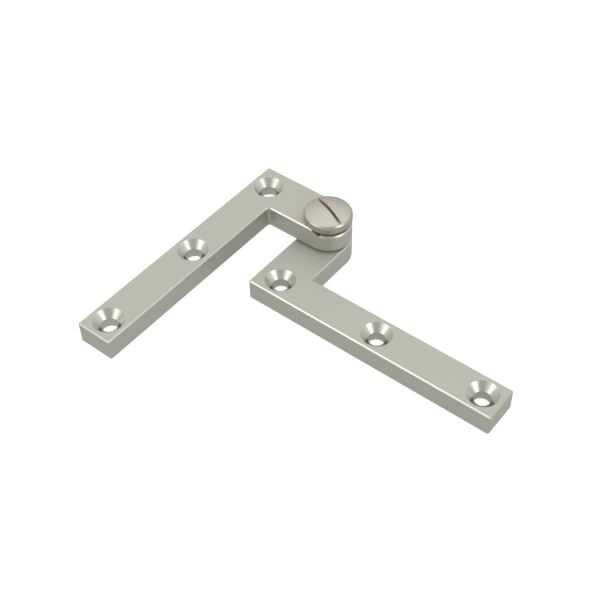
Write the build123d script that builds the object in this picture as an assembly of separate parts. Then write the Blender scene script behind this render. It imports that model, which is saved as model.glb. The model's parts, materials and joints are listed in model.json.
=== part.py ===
from build123d import *
import math
import os

# A pivot hinge: two L-shaped leaves of solid bar, one on the other, that turn on a slotted
# pivot screw. Sizes are in millimetres. +Z is up, the origin is where the pivot axis meets
# the underside of the lower leaf.

# Leaves: both are cut from the same bar to the same outline
leaf_length = 112.0
leg_width = 15.9
arm_width = 19.7
arm_reach = 39.2
leaf_thickness = 9.8
inner_corner_radius = 1.2
outer_corner_radius = 0.6
edge_chamfer = 0.5
opening_angle = 90.0

# Screw holes, countersunk on both faces so that a leaf can be fixed either way up
hole_radius = 3.3
countersink_radius = 6.2
countersink_angle = 90.0
holes_per_leaf = 3
end_hole_margin = 8.15

# Washers: a thin one between the leaves, a thicker one under the head of the pivot screw
washer_radius = 8.75
leaf_washer_thickness = 0.8
head_washer_thickness = 2.0
shoulder_to_washer_clearance = 0.15
washer_to_pocket_clearance = 0.25

# The round end of the upper leaf is cut down to a seat for the head washer, and a short
# ramp on each side leads from the full thickness to the seat
seat_depth = 1.9
ramp_start = -1.7
ramp_length = 4.3

# Pivot screw: a domed head, a shoulder that the upper leaf turns on and a threaded end
shoulder_radius = 5.0
shoulder_to_bore_clearance = 0.05
thread_radius = 4.0
thread_to_hole_clearance = 0.03
thread_length = 6.0
thread_point = 0.8
tapped_hole_spare_depth = 0.4
drill_point_angle = 118.0
head_overhang = 0.15
head_edge_height = 2.95
dome_rise = 2.2
head_rim_radius = 1.7
head_play = 0.05
slot_width = 1.3
slot_depth = 1.9
slot_angle = -20.6

# Places that follow from the sizes above
end_radius = arm_width / 2
leg_x = leg_width / 2 - arm_reach
inner_x = leg_width - arm_reach
free_end_y = end_radius - leaf_length
hole_pitch = (leaf_length - end_radius - end_hole_margin) / (holes_per_leaf - 1)
head_radius = end_radius + head_overhang
lower_top = leaf_thickness
upper_bottom = lower_top + leaf_washer_thickness
upper_top = upper_bottom + leaf_thickness
seat_z = upper_top - seat_depth
head_bottom = seat_z + head_washer_thickness + head_play
head_edge_z = head_bottom + head_edge_height
head_apex = head_edge_z + dome_rise
dome_radius = (head_radius**2 + dome_rise**2) / (2 * dome_rise)
bore_radius = shoulder_radius + shoulder_to_bore_clearance


def leaf_outline():
    """The plan of a leaf: a long leg, a shorter and wider arm, and its round end."""
    leg = Pos(leg_x, (end_radius + free_end_y) / 2) * Rectangle(leg_width, leaf_length)
    arm = Pos(-arm_reach / 2, 0) * Rectangle(arm_reach, arm_width)
    outline = leg + arm + Circle(end_radius)
    inner_corner = outline.vertices().sort_by_distance((inner_x, -end_radius, 0))[0]
    return fillet(inner_corner, inner_corner_radius)


def softened_blank(height):
    """The bar cut to the outline, with rounded corners and a chamfer round each face."""
    blank = extrude(leaf_outline(), height)
    corners = [
        (-arm_reach, end_radius, height / 2),
        (-arm_reach, free_end_y, height / 2),
        (inner_x, free_end_y, height / 2),
    ]
    upright = blank.edges().filter_by(Axis.Z)
    blank = fillet([upright.sort_by_distance(corner)[0] for corner in corners], outer_corner_radius)
    levels = blank.faces().sort_by(Axis.Z)
    return chamfer(levels[0].edges() + levels[-1].edges(), edge_chamfer)


def screw_hole():
    """One hole through a leaf: a neck with a cone to each face."""
    slope = math.tan(math.radians(countersink_angle / 2))
    cone_depth = (countersink_radius - hole_radius) / slope
    profile = Polyline(
        (0, 0),
        (countersink_radius, 0),
        (hole_radius, cone_depth),
        (hole_radius, leaf_thickness - cone_depth),
        (countersink_radius, leaf_thickness),
        (0, leaf_thickness),
        close=True,
    )
    return revolve(Plane.XZ * make_face(profile), Axis.Z)


def drilled(blank):
    """A leaf blank with its row of screw holes, from the corner to the free end."""
    for number in range(holes_per_leaf):
        blank -= Pos(leg_x, -number * hole_pitch, 0) * screw_hole()
    return blank


def make_lower_leaf():
    """The leaf below: plain on both faces, with a blind tapped hole for the pivot screw."""
    hole_wall = thread_radius + thread_to_hole_clearance
    hole_depth = thread_length + tapped_hole_spare_depth
    point_depth = hole_wall / math.tan(math.radians(drill_point_angle / 2))
    hole = Pos(0, 0, lower_top - hole_depth / 2) * Cylinder(hole_wall, hole_depth)
    point_centre = lower_top - hole_depth - point_depth / 2
    point = Pos(0, 0, point_centre) * Cone(0, hole_wall, point_depth)
    leaf = drilled(softened_blank(leaf_thickness)) - hole - point
    return Rot(0, 0, opening_angle) * leaf


def make_upper_leaf():
    """The leaf above: its round end is lowered to a seat, and bored for the shoulder."""
    seat_level = leaf_thickness - seat_depth
    ramp_end = ramp_start + ramp_length
    side = Polyline(
        (ramp_start, leaf_thickness),
        (ramp_end, seat_level),
        (leaf_length, seat_level),
        (leaf_length, leaf_thickness),
        close=True,
    )
    cut_away = extrude(Plane.XZ * make_face(side), leaf_length, both=True)
    leaf = drilled(softened_blank(leaf_thickness)) - cut_away
    past_ramp_x = ramp_end + leaf_length / 2
    past_ramp = Pos(past_ramp_x, 0, leaf_thickness / 2) * Box(leaf_length, leaf_length, leaf_thickness)
    leaf = (leaf - past_ramp) + (softened_blank(seat_level) & past_ramp)
    pocket_radius = washer_radius + washer_to_pocket_clearance
    pocket = Pos(0, 0, leaf_thickness - seat_depth / 2) * Cylinder(pocket_radius, seat_depth)
    bore = Pos(0, 0, leaf_thickness / 2) * Cylinder(bore_radius, leaf_thickness)
    return Pos(0, 0, upper_bottom) * (leaf - pocket - bore)


def make_washer(bottom, thickness):
    """A flat turned washer that lies on the plane z = bottom."""
    inner_radius = shoulder_radius + shoulder_to_washer_clearance
    ring = Cylinder(washer_radius, thickness) - Cylinder(inner_radius, thickness)
    return Pos(0, 0, bottom + thickness / 2) * ring


def make_pivot_screw():
    """The pivot screw, turned in one piece: dome, rim, shoulder and threaded end."""
    with BuildLine() as half:
        Polyline(
            (0, lower_top - thread_length),
            (thread_radius - thread_point, lower_top - thread_length),
            (thread_radius, lower_top - thread_length + thread_point),
            (thread_radius, lower_top),
            (shoulder_radius, lower_top),
            (shoulder_radius, head_bottom),
            (head_radius, head_bottom),
            (head_radius, head_edge_z),
        )
        RadiusArc((head_radius, head_edge_z), (0, head_apex), -dome_radius)
        Line((0, head_apex), (0, lower_top - thread_length))
    section = make_face(half.line)
    rim = section.vertices().sort_by_distance((head_radius, head_edge_z, 0))[0]
    section = fillet(rim, head_rim_radius)
    screw = revolve(Plane.XZ * section, Axis.Z)
    slot_length = 2 * (head_radius + dome_rise)
    slot = Pos(0, 0, head_apex) * Rot(0, 0, slot_angle) * Box(slot_length, slot_width, 2 * slot_depth)
    return screw - slot


PARTS = {
    "lower_leaf": make_lower_leaf(),
    "upper_leaf": make_upper_leaf(),
    "leaf_washer": make_washer(lower_top, leaf_washer_thickness),
    "head_washer": make_washer(seat_z, head_washer_thickness),
    "pivot_screw": make_pivot_screw(),
}

os.makedirs("parts", exist_ok=True)
for name, solid in PARTS.items():
    export_step(solid, f"parts/{name}.step")
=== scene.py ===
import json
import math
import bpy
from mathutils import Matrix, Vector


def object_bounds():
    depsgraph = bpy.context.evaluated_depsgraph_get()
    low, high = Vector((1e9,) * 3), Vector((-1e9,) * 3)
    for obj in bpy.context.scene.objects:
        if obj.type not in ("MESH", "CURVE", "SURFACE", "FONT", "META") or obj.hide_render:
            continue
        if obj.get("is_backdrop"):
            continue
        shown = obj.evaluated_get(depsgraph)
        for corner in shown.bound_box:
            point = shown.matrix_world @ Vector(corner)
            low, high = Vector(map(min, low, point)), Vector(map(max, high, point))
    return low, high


bl_info = {
    "name": "Pivot Hinge in Satin Nickel",
    "version": (1, 0, 0),
    "blender": (4, 5, 0),
    "location": "3D View > Sidebar > Hinge",
    "description": "Finishes the pieces of a pivot hinge and sets it in a plain, pale studio",
    "category": "Object",
}

import bmesh
import bpy
from mathutils import Matrix, Vector

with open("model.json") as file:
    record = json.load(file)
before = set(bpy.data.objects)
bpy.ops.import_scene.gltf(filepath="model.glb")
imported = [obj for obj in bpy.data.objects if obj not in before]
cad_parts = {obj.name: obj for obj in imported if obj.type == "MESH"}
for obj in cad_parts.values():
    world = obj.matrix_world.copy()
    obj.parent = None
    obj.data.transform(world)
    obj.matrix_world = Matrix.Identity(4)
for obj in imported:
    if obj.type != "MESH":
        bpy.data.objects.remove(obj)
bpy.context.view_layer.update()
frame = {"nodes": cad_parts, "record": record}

MM = 0.001

# Pieces of the hinge
LEAVES = ("lower_leaf", "upper_leaf")
WASHERS = ("leaf_washer", "head_washer")
SCREW = "pivot_screw"

# How far up a chamfer or a countersink faces, and how far that may differ
SLOPE_MIDDLE = 0.7
SLOPE_MARGIN = 0.25

# The camera's sensor, and the floor: its side, and its distance under the hinge
SENSOR_WIDTH_MM = 36
FLOOR_SIZE = 12.0
FLOOR_GAP = 0.05 * MM


def linear(colour):
    """An sRGB hex colour as the linear red, green and blue that shaders use."""
    channels = [int(colour[start:start + 2], 16) / 255 for start in (1, 3, 5)]
    return [c / 12.92 if c <= 0.04045 else ((c + 0.055) / 1.055) ** 2.4 for c in channels]


def direction(azimuth, elevation):
    """The unit vector at an azimuth from +X towards +Y and an elevation, both in degrees."""
    turn = math.radians(azimuth)
    rise = math.radians(elevation)
    flat = math.cos(rise)
    return Vector((flat * math.cos(turn), flat * math.sin(turn), math.sin(rise)))


def hole_row(leaf):
    """The middle of a leaf's row of screw holes, the row's turn from Y and the holes' pitch."""
    mounts = {mount["name"]: mount for mount in frame["record"]["mounts"]}
    mount = mounts[f"{leaf}_holes"]
    along_x = "spacing_x_mm" in mount["dims"]
    span = mount["dims"]["spacing_x_mm" if along_x else "spacing_y_mm"]
    return Vector(mount["pos_m"]), math.radians(90) if along_x else 0.0, span / 2 * MM


class HingeFinish(bpy.types.PropertyGroup):
    """Colours and surface sizes of the plated and turned metal."""

    leaf_colour: bpy.props.FloatVectorProperty(
        name="Leaf colour",
        description="Colour of the satin nickel plate on the leaves",
        default=linear("#cacac0"),
        subtype="COLOR",
        min=0,
        max=1,
    )
    screw_colour: bpy.props.FloatVectorProperty(
        name="Screw colour",
        description="Colour of the nickel plate on the pivot screw",
        default=linear("#bebbaf"),
        subtype="COLOR",
        min=0,
        max=1,
    )
    washer_colour: bpy.props.FloatVectorProperty(
        name="Washer colour",
        description="Colour of the plain turned washers",
        default=linear("#8c897c"),
        subtype="COLOR",
        min=0,
        max=1,
    )
    # Painted shade: the dark colour that an occlusion mask lays into slots and between close walls
    painted_shade_colour: bpy.props.FloatVectorProperty(
        name="Unpolished colour",
        description="Colour of turned metal between close walls, where polishing doesn't reach",
        default=linear("#26241f"),
        subtype="COLOR",
        min=0,
        max=1,
    )
    face_roughness: bpy.props.FloatProperty(
        name="Face roughness",
        description="How widely the brushed faces of a leaf spread a reflection",
        default=0.75,
        min=0,
        max=1,
    )
    wall_roughness: bpy.props.FloatProperty(
        name="Wall roughness",
        description="How widely a leaf's milled side walls and the washers spread a reflection",
        default=0.5,
        min=0,
        max=1,
    )
    turned_roughness: bpy.props.FloatProperty(
        name="Turned roughness",
        description="How widely the turned surfaces of the pivot screw spread a reflection",
        default=0.25,
        min=0,
        max=1,
    )
    cut_roughness: bpy.props.FloatProperty(
        name="Cut roughness",
        description="How widely the countersinks and chamfers, cut last, spread a reflection",
        default=0.25,
        min=0,
        max=1,
    )
    grain_width: bpy.props.FloatProperty(
        name="Grain width",
        description="Distance between the brush lines along the leaves",
        default=0.15 * MM,
        unit="LENGTH",
        min=0.01 * MM,
    )
    grain_length: bpy.props.FloatProperty(
        name="Grain length",
        description="Length of one brush line",
        default=7.0 * MM,
        unit="LENGTH",
        min=0.1 * MM,
    )
    grain_depth: bpy.props.FloatProperty(
        name="Grain depth",
        description="Depth of the brush lines",
        default=0.001 * MM,
        unit="LENGTH",
        min=0,
    )
    turning_pitch: bpy.props.FloatProperty(
        name="Turning pitch",
        description="Distance between the rings that the cutter left",
        default=0.25 * MM,
        unit="LENGTH",
        min=0.01 * MM,
    )
    turning_depth: bpy.props.FloatProperty(
        name="Turning depth",
        description="Depth of the rings that the cutter left",
        default=0.002 * MM,
        unit="LENGTH",
        min=0,
    )
    countersink_radius: bpy.props.FloatProperty(
        name="Countersink radius",
        description="Radius inside which a leaf shows cutter rings and not brush lines",
        default=6.2 * MM,
        unit="LENGTH",
        min=0,
    )
    # Painted shade: how near two walls must be for the occlusion mask to darken the colour between
    # them
    painted_shade_reach: bpy.props.FloatProperty(
        name="Dark reach",
        description="Distance between two walls under which the metal stays dark and unpolished",
        default=1.2 * MM,
        unit="LENGTH",
        min=0,
    )
    arris_radius: bpy.props.FloatProperty(
        name="Arris radius",
        description="Rounding that polishing and plating leave on each arris",
        default=0.12 * MM,
        unit="LENGTH",
        min=0,
    )


class HingeStudio(bpy.types.PropertyGroup):
    """Where the camera and the lamps stand, and how bright the studio is."""

    camera_place: bpy.props.FloatVectorProperty(
        name="Camera place",
        description="Where the camera stands",
        default=(199.7 * MM, -262.4 * MM, 325.1 * MM),
        subtype="TRANSLATION",
    )
    camera_turn: bpy.props.FloatVectorProperty(
        name="Camera turn",
        description="How the camera is turned from looking straight down",
        default=[math.radians(angle) for angle in (43.006, 1.018, 38.316)],
        subtype="EULER",
    )
    lens: bpy.props.FloatProperty(
        name="Lens",
        description="Focal length in millimetres",
        default=66.3,
        unit="CAMERA",
        min=1,
    )
    lamp_distance: bpy.props.FloatProperty(
        name="Lamp distance",
        description="Distance from the middle of the hinge to each softbox",
        default=0.9,
        unit="LENGTH",
        min=0.1,
    )
    left_side: bpy.props.FloatVectorProperty(
        name="Left softbox, side",
        description="Direction in which the left softbox stands",
        default=direction(-121, 33),
        subtype="DIRECTION",
    )
    left_size: bpy.props.FloatVectorProperty(
        name="Left softbox, size",
        description="Width and height of the left softbox",
        default=(0.54, 0.32),
        size=2,
        unit="LENGTH",
        min=0.01,
    )
    left_brightness: bpy.props.FloatProperty(
        name="Left softbox, brightness",
        description="Brightness of the left softbox against a white of 1",
        default=1.0,
        min=0,
    )
    right_side: bpy.props.FloatVectorProperty(
        name="Right softbox, side",
        description="Direction in which the right softbox stands",
        default=direction(2, 28),
        subtype="DIRECTION",
    )
    right_size: bpy.props.FloatVectorProperty(
        name="Right softbox, size",
        description="Width and height of the right softbox",
        default=(0.46, 0.68),
        size=2,
        unit="LENGTH",
        min=0.01,
    )
    right_brightness: bpy.props.FloatProperty(
        name="Right softbox, brightness",
        description="Brightness of the right softbox against a white of 1",
        default=1.3,
        min=0,
    )
    room_light: bpy.props.FloatProperty(
        name="Room light",
        description="Brightness of the room on matt surfaces",
        default=0.6,
        min=0,
    )
    mirrored_low: bpy.props.FloatProperty(
        name="Mirrored room, low",
        description="Brightness of the room at the height of the hinge, as the metal mirrors it",
        default=0.62,
        min=0,
    )
    mirrored_high: bpy.props.FloatProperty(
        name="Mirrored room, high",
        description="Brightness of the room overhead, as the metal mirrors it",
        default=1.28,
        min=0,
    )
    shaded_side: bpy.props.FloatVectorProperty(
        name="Shaded side",
        description="Where the room is darkest: the side from which the hinge is shown",
        default=direction(-44, 48),
        subtype="DIRECTION",
    )
    shaded_reach: bpy.props.FloatVectorProperty(
        name="Shaded reach",
        description="How far the shade reaches round that direction in full, and where it ends",
        default=(math.radians(20), math.radians(36)),
        size=2,
        unit="ROTATION",
    )
    shade_share: bpy.props.FloatProperty(
        name="Shade share",
        description="Share of the room's brightness that the shade takes away",
        default=0.46,
        min=0,
        max=1,
    )
    paper_colour: bpy.props.FloatVectorProperty(
        name="Paper colour",
        description="How much of its light the matt paper of the floor sends back",
        default=linear("#959593"),
        subtype="COLOR",
        min=0,
        max=1,
    )
    floor_glow: bpy.props.FloatProperty(
        name="Floor glow",
        description="What the floor adds to its lit brightness, so that it stays white",
        default=0.93,
        min=0,
    )
    floor_mirrored: bpy.props.FloatProperty(
        name="Mirrored floor glow",
        description="What the floor adds where it is seen in the metal",
        default=0.41,
        min=0,
    )


def add_node(tree, kind, inputs=(), **settings):
    """Adds a node with its settings. Each input is a value, or the socket that feeds it."""
    node = tree.nodes.new(kind)
    for name, value in settings.items():
        setattr(node, name, value)
    for socket, value in dict(inputs).items():
        if isinstance(value, bpy.types.NodeSocket):
            tree.links.new(value, node.inputs[socket])
        else:
            node.inputs[socket].default_value = value
    return node


def new_material(name):
    """An empty node material, and its node tree."""
    material = bpy.data.materials.new(name)
    material.use_nodes = True
    material.node_tree.nodes.clear()
    return material, material.node_tree


def calculate(tree, operation, *numbers):
    """One step of arithmetic on numbers or sockets."""
    node = add_node(tree, "ShaderNodeMath", dict(enumerate(numbers)), operation=operation)
    return node.outputs["Value"]


def blend(tree, share, first, second):
    """A number that goes from the first to the second as the share goes from 0 to 1."""
    inputs = {"Factor": share, 2: first, 3: second}
    return add_node(tree, "ShaderNodeMix", inputs, data_type="FLOAT").outputs[0]


def blend_colours(tree, share, first, second):
    """A colour that goes from the first to the second as the share goes from 0 to 1."""
    inputs = {"Factor": share, 6: first, 7: second}
    return add_node(tree, "ShaderNodeMix", inputs, data_type="RGBA").outputs[2]


def axes_of(tree, vector):
    """The X, Y and Z of a vector."""
    return add_node(tree, "ShaderNodeSeparateXYZ", {"Vector": vector}).outputs


def distance(tree, first, second):
    """The distance that two sides at right angles span."""
    squares = [calculate(tree, "MULTIPLY", side, side) for side in (first, second)]
    return calculate(tree, "SQRT", calculate(tree, "ADD", *squares))


def metal_surface(tree, colour, roughness, height, depth, arris_radius):
    """The metal's shader: its colour, its spread, and its marks laid over softened arrises."""
    arris = add_node(tree, "ShaderNodeBevel", {"Radius": arris_radius}, samples=6)
    marks = add_node(
        tree,
        "ShaderNodeBump",
        {"Height": height, "Normal": arris.outputs["Normal"], "Distance": depth, "Strength": 1.0},
    )
    shader = add_node(
        tree,
        "ShaderNodeBsdfPrincipled",
        {
            "Base Color": colour,
            "Metallic": 1.0,
            "Roughness": roughness,
            "Normal": marks.outputs["Normal"],
        },
    )
    add_node(tree, "ShaderNodeOutputMaterial", {"Surface": shader.outputs["BSDF"]})


def spread_between(tree, pattern, middle, swing):
    """A roughness that follows a pattern from 0 to 1, from middle - swing to middle + swing."""
    node = add_node(
        tree,
        "ShaderNodeMapRange",
        {"Value": pattern, "To Min": middle - swing, "To Max": middle + swing},
    )
    return node.outputs["Result"]


def uneven_colour(tree, place, colour, shade, patch_size):
    """A plate colour that drifts a little between two shades, in patches of a given size."""
    drift = add_node(
        tree,
        "ShaderNodeTexNoise",
        {"Vector": place, "Scale": 1 / patch_size, "Detail": 2.0},
    )
    darker = [c * (1 - shade) for c in colour] + [1.0]
    lighter = [min(1.0, c * (1 + shade)) for c in colour] + [1.0]
    return blend_colours(tree, drift.outputs["Fac"], darker, lighter)


def cutter_rings(tree, across, up, pitch):
    """Rings that a cutter leaves, from the distance to the turning axis and the height."""
    place = add_node(tree, "ShaderNodeCombineXYZ", {"X": across, "Y": up})
    rings = add_node(
        tree,
        "ShaderNodeTexNoise",
        {"Vector": place.outputs["Vector"], "Scale": 1 / pitch, "Detail": 3.0},
        noise_dimensions="2D",
    )
    return rings.outputs["Fac"]


def brush_lines(tree, along_leg, finish):
    """Fine lines that a brush leaves along the leg, which is the Y of the place given."""
    place = add_node(
        tree,
        "ShaderNodeMapping",
        {"Vector": along_leg, "Scale": (1, finish.grain_width / finish.grain_length, 1)},
    )
    lines = add_node(
        tree,
        "ShaderNodeTexNoise",
        {"Vector": place.outputs["Vector"], "Scale": 1 / finish.grain_width, "Detail": 3.0},
    )
    return lines.outputs["Fac"]


def leaf_metal(leaf, finish):
    """Satin nickel plate on brass bar, brushed along the leg before it was plated.

    The faces and walls spread a reflection widely. The countersinks and chamfers are cut
    last and spread it less, so they keep clear bright bands.
    """
    row_middle, turn, pitch = hole_row(leaf)
    material, tree = new_material(f"satin_nickel_{leaf}")
    place = add_node(tree, "ShaderNodeTexCoord").outputs["Object"]
    from_row = add_node(
        tree,
        "ShaderNodeVectorMath",
        {0: place, 1: row_middle},
        operation="SUBTRACT",
    )
    along_leg = add_node(
        tree,
        "ShaderNodeMapping",
        {"Vector": from_row.outputs["Vector"], "Rotation": (0, 0, -turn)},
    ).outputs["Vector"]
    axes = axes_of(tree, along_leg)
    from_hole = calculate(tree, "WRAP", axes["Y"], -pitch / 2, pitch / 2)
    across = distance(tree, axes["X"], from_hole)
    in_hole = calculate(tree, "LESS_THAN", across, finish.countersink_radius)
    rings = cutter_rings(tree, across, axes["Z"], finish.turning_pitch)
    facing = add_node(tree, "ShaderNodeNewGeometry").outputs["True Normal"]
    up_or_down = calculate(tree, "ABSOLUTE", axes_of(tree, facing)["Z"])
    sloping = calculate(tree, "COMPARE", up_or_down, SLOPE_MIDDLE, SLOPE_MARGIN)
    roughness = blend(
        tree,
        calculate(tree, "MAXIMUM", in_hole, sloping),
        blend(tree, up_or_down, finish.wall_roughness, finish.face_roughness),
        spread_between(tree, rings, finish.cut_roughness, swing=0.03),
    )
    metal_surface(
        tree,
        uneven_colour(tree, place, finish.leaf_colour, shade=0.02, patch_size=14 * MM),
        roughness,
        blend(tree, in_hole, brush_lines(tree, along_leg, finish), rings),
        finish.grain_depth,
        finish.arris_radius,
    )
    return material


def painted_shade_inside(tree, colour, finish):
    """A colour darkened with painted shade in a narrow slot or between close walls, found by an
    occlusion mask.
    """
    open_share = add_node(
        tree,
        "ShaderNodeAmbientOcclusion",
        {"Distance": finish.painted_shade_reach},
        samples=8,
        only_local=True,
    )
    return blend_colours(tree, open_share.outputs["AO"], [*finish.painted_shade_colour, 1.0], colour)


def turned_metal(name, colour, roughness, finish, shade):
    """Metal turned in a lathe round the pivot axis, with the fine rings that the cutter left."""
    material, tree = new_material(name)
    place = add_node(tree, "ShaderNodeTexCoord").outputs["Object"]
    axes = axes_of(tree, place)
    across = distance(tree, axes["X"], axes["Y"])
    rings = cutter_rings(tree, across, axes["Z"], finish.turning_pitch)
    plate = uneven_colour(tree, place, colour, shade=shade, patch_size=6 * MM)
    metal_surface(
        tree,
        # Painted shade laid on the plate colour in slots and between close walls
        painted_shade_inside(tree, plate, finish),
        spread_between(tree, rings, roughness, swing=0.04),
        rings,
        finish.turning_depth,
        finish.arris_radius,
    )
    return material


def give_finish(node, material):
    """Puts one material on a piece of the frame."""
    piece = frame["nodes"][node]
    piece.data.materials.clear()
    piece.data.materials.append(material)


class HINGE_OT_finish_leaves(bpy.types.Operator):
    """Give both leaves their brushed and plated metal"""

    bl_idname = "hinge.finish_leaves"
    bl_label = "Finish Leaves"

    def execute(self, context):
        finish = context.scene.hinge_finish
        for leaf in LEAVES:
            give_finish(leaf, leaf_metal(leaf, finish))
        return {"FINISHED"}


class HINGE_OT_finish_screw(bpy.types.Operator):
    """Give the pivot screw its turned and plated metal"""

    bl_idname = "hinge.finish_screw"
    bl_label = "Finish Pivot Screw"

    def execute(self, context):
        finish = context.scene.hinge_finish
        metal = turned_metal(
            "turned_nickel",
            finish.screw_colour,
            finish.turned_roughness,
            finish,
            shade=0.02,
        )
        give_finish(SCREW, metal)
        return {"FINISHED"}


class HINGE_OT_finish_washers(bpy.types.Operator):
    """Give the two washers their plain, darker turned metal"""

    bl_idname = "hinge.finish_washers"
    bl_label = "Finish Washers"

    def execute(self, context):
        finish = context.scene.hinge_finish
        metal = turned_metal(
            "turned_washer_brass",
            finish.washer_colour,
            finish.wall_roughness,
            finish,
            shade=0.05,
        )
        for washer in WASHERS:
            give_finish(washer, metal)
        return {"FINISHED"}


def facing_middle(place):
    """The matrix of a thing at a place from the middle of the hinge, with its -Z side facing it."""
    low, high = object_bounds()
    middle = (low + high) / 2
    turn = (-place).to_track_quat("-Z", "Y").to_matrix().to_4x4()
    return Matrix.Translation(middle + place) @ turn


def add_softbox(name, side, size, brightness, distance_away):
    """An evenly lit panel that faces the hinge. Its brightness is against a white of 1."""
    width, height = size
    lamp = bpy.data.lights.new(name, "AREA")
    lamp.shape = "RECTANGLE"
    lamp.size = width
    lamp.size_y = height
    lamp.energy = brightness * math.pi * width * height
    box = bpy.data.objects.new(name, lamp)
    bpy.context.scene.collection.objects.link(box)
    box.matrix_world = facing_middle(side * distance_away)
    box.visible_camera = False


def add_floor(name, material):
    """A flat square just under the hinge, which isn't part of it."""
    mesh = bpy.data.meshes.new(name)
    shape = bmesh.new()
    bmesh.ops.create_grid(shape, x_segments=1, y_segments=1, size=FLOOR_SIZE / 2)
    bmesh.ops.translate(shape, vec=(0, 0, -FLOOR_GAP), verts=shape.verts)
    shape.to_mesh(mesh)
    shape.free()
    mesh.materials.append(material)
    floor = bpy.data.objects.new(name, mesh)
    bpy.context.scene.collection.objects.link(floor)
    floor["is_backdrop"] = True


def seen_in_metal(tree, path):
    """1 where the hinge mirrors or lets through what it sees, and 0 elsewhere."""
    return calculate(
        tree,
        "MAXIMUM",
        path.outputs["Is Glossy Ray"],
        path.outputs["Is Transmission Ray"],
    )


def white_paper(studio):
    """Matt white paper that glows a little, so that it reads as white and keeps a soft shadow.

    It can't be seen from below, so that the underside of the hinge can be looked at.
    """
    material, tree = new_material("studio_paper")
    path = add_node(tree, "ShaderNodeLightPath")
    glow = calculate(
        tree,
        "ADD",
        calculate(tree, "MULTIPLY", path.outputs["Is Camera Ray"], studio.floor_glow),
        calculate(tree, "MULTIPLY", seen_in_metal(tree, path), studio.floor_mirrored),
    )
    lit = add_node(tree, "ShaderNodeBsdfDiffuse", {"Color": [*studio.paper_colour, 1.0]})
    light = add_node(tree, "ShaderNodeEmission", {"Strength": glow})
    paper = add_node(tree, "ShaderNodeAddShader", {0: lit.outputs[0], 1: light.outputs[0]})
    clear = add_node(tree, "ShaderNodeBsdfTransparent")
    side = add_node(tree, "ShaderNodeNewGeometry").outputs["Backfacing"]
    seen = add_node(
        tree,
        "ShaderNodeMixShader",
        {0: side, 1: paper.outputs[0], 2: clear.outputs[0]},
    )
    add_node(tree, "ShaderNodeOutputMaterial", {"Surface": seen.outputs[0]})
    return material


def light_room(studio):
    """A white room: full white where it is seen, and a plain level on matt surfaces.

    The metal mirrors it brighter overhead, and darker on the side of the camera.
    """
    world = bpy.data.worlds.new("studio_room")
    bpy.context.scene.world = world
    world.use_nodes = True
    tree = world.node_tree
    tree.nodes.clear()
    towards = add_node(tree, "ShaderNodeTexCoord").outputs["Generated"]
    by_height = add_node(
        tree,
        "ShaderNodeMapRange",
        {
            "Value": axes_of(tree, towards)["Z"],
            "To Min": studio.mirrored_low,
            "To Max": studio.mirrored_high,
        },
    )
    to_shade = add_node(
        tree,
        "ShaderNodeVectorMath",
        {0: towards, 1: studio.shaded_side},
        operation="DOT_PRODUCT",
    )
    full, end = studio.shaded_reach
    left_over = add_node(
        tree,
        "ShaderNodeMapRange",
        {
            "Value": to_shade.outputs["Value"],
            "From Min": math.cos(end),
            "From Max": math.cos(full),
            "To Min": 1.0,
            "To Max": 1 - studio.shade_share,
        },
        interpolation_type="SMOOTHSTEP",
    )
    in_metal = calculate(tree, "MULTIPLY", by_height.outputs["Result"], left_over.outputs["Result"])
    path = add_node(tree, "ShaderNodeLightPath")
    to_things = blend(tree, seen_in_metal(tree, path), studio.room_light, in_metal)
    strength = blend(tree, path.outputs["Is Camera Ray"], to_things, 1.0)
    room = add_node(
        tree,
        "ShaderNodeBackground",
        {"Color": (1, 1, 1, 1), "Strength": strength},
    )
    add_node(tree, "ShaderNodeOutputWorld", {"Surface": room.outputs[0]})


def add_camera(studio):
    """The camera at the height and angle from which the hinge is shown."""
    camera = bpy.data.cameras.new("camera")
    camera.lens = studio.lens
    camera.sensor_width = SENSOR_WIDTH_MM
    holder = bpy.data.objects.new("camera", camera)
    bpy.context.scene.collection.objects.link(holder)
    holder.location = studio.camera_place
    holder.rotation_euler = studio.camera_turn
    bpy.context.scene.camera = holder


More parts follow.
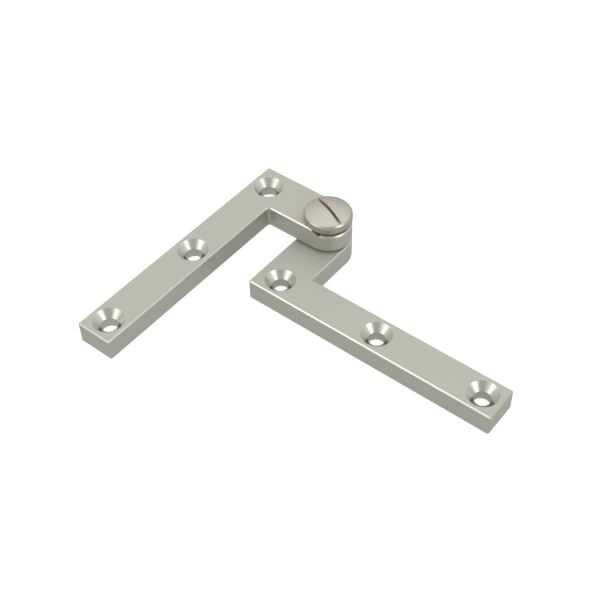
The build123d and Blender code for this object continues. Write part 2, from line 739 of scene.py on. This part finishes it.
class HINGE_OT_set_stage(bpy.types.Operator):
    """Set the camera, the lamps, the white floor and the white room round the hinge"""

    bl_idname = "hinge.set_stage"
    bl_label = "Set Stage"

    def execute(self, context):
        studio = context.scene.hinge_studio
        context.scene.view_settings.view_transform = "Standard"
        add_camera(studio)
        light_room(studio)
        add_softbox(
            "left_softbox",
            studio.left_side,
            studio.left_size,
            studio.left_brightness,
            studio.lamp_distance,
        )
        add_softbox(
            "right_softbox",
            studio.right_side,
            studio.right_size,
            studio.right_brightness,
            studio.lamp_distance,
        )
        add_floor("floor", white_paper(studio))
        return {"FINISHED"}


class HINGE_PT_sidebar(bpy.types.Panel):
    """The hinge's sizes, colours and steps in the sidebar"""

    bl_idname = "HINGE_PT_sidebar"
    bl_label = "Pivot Hinge"
    bl_space_type = "VIEW_3D"
    bl_region_type = "UI"
    bl_category = "Hinge"

    def draw(self, context):
        for group, steps in (
            (context.scene.hinge_finish, FINISH_STEPS),
            (context.scene.hinge_studio, STUDIO_STEPS),
        ):
            box = self.layout.box()
            for name in group.__annotations__:
                box.prop(group, name)
            for step in steps:
                box.operator(step.bl_idname)


FINISH_STEPS = (HINGE_OT_finish_leaves, HINGE_OT_finish_screw, HINGE_OT_finish_washers)
STUDIO_STEPS = (HINGE_OT_set_stage,)
CLASSES = (HingeFinish, HingeStudio, *FINISH_STEPS, *STUDIO_STEPS, HINGE_PT_sidebar)


def register():
    for cls in CLASSES:
        bpy.utils.register_class(cls)
    bpy.types.Scene.hinge_finish = bpy.props.PointerProperty(type=HingeFinish)
    bpy.types.Scene.hinge_studio = bpy.props.PointerProperty(type=HingeStudio)


def unregister():
    del bpy.types.Scene.hinge_studio
    del bpy.types.Scene.hinge_finish
    for cls in reversed(CLASSES):
        bpy.utils.unregister_class(cls)


def main():
    register()
    bpy.ops.hinge.finish_leaves()
    bpy.ops.hinge.finish_screw()
    bpy.ops.hinge.finish_washers()
    bpy.ops.hinge.set_stage()


if __name__ == "__main__":
    main()
